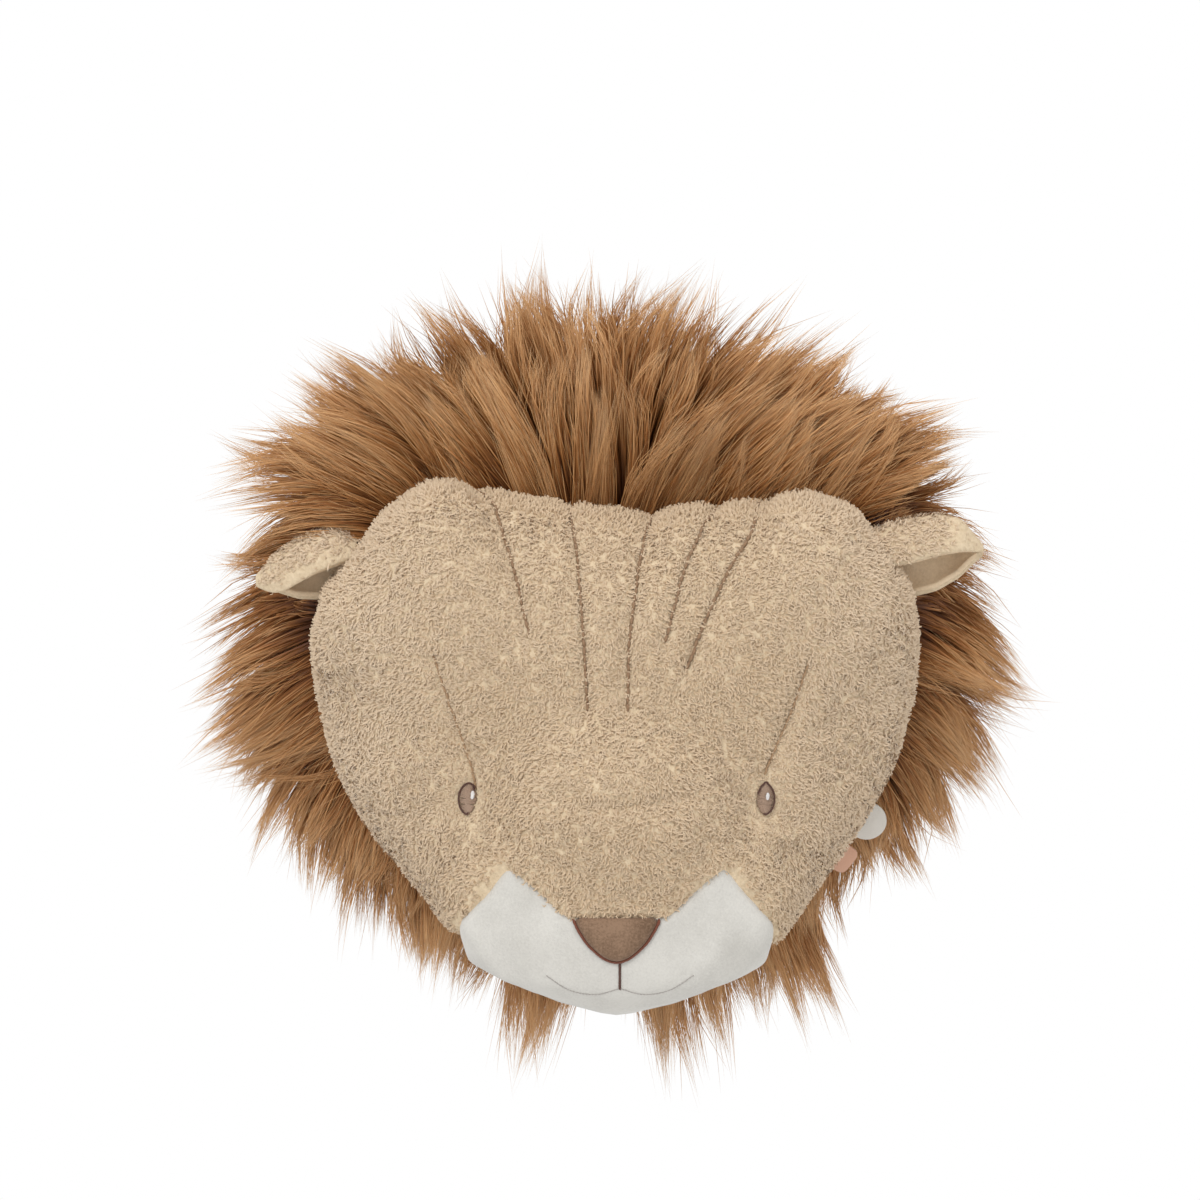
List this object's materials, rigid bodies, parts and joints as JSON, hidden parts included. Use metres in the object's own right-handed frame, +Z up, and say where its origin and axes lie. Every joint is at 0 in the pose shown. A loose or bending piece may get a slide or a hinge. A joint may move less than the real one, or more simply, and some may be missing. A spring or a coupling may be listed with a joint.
{
  "type": "plush lion head wall hanging",
  "caption": "Stuffed plush lion head with a long faux fur mane, velour muzzle and embroidered eyes, made to hang flat on a wall.",
  "frame": {"origin": "middle of the flat back board, on the wall plane", "axes": "+Y into the wall, so the face looks along -Y; +X to the right of someone who looks at the face; +Z up"},
  "size_m": [0.4169, 0.2036, 0.4179],
  "materials": {
    "beige_plush": "short curly plush pile",
    "white_velour": "smooth short velour",
    "ear_velour": "smooth short velour",
    "nose_nap": "fine brushed nap",
    "eye_thread": "satin stitch thread",
    "mane_fur": "long faux fur",
    "felt_backing": "felt over a stiff board",
    "round_label": "bare woven label",
    "peach_tape": "bare folded tape"
  },
  "bodies": {
    "root": {"head": "beige_plush", "ear_left": "beige_plush", "ear_right": "beige_plush", "muzzle": "white_velour", "ear_left_lining": "ear_velour", "ear_right_lining": "ear_velour", "nose": "nose_nap", "eye_left": "eye_thread", "eye_right": "eye_thread", "mane": "mane_fur", "back_board": "felt_backing", "round_tag": "round_label", "side_tab": "peach_tape"}
  },
  "joints": []
}
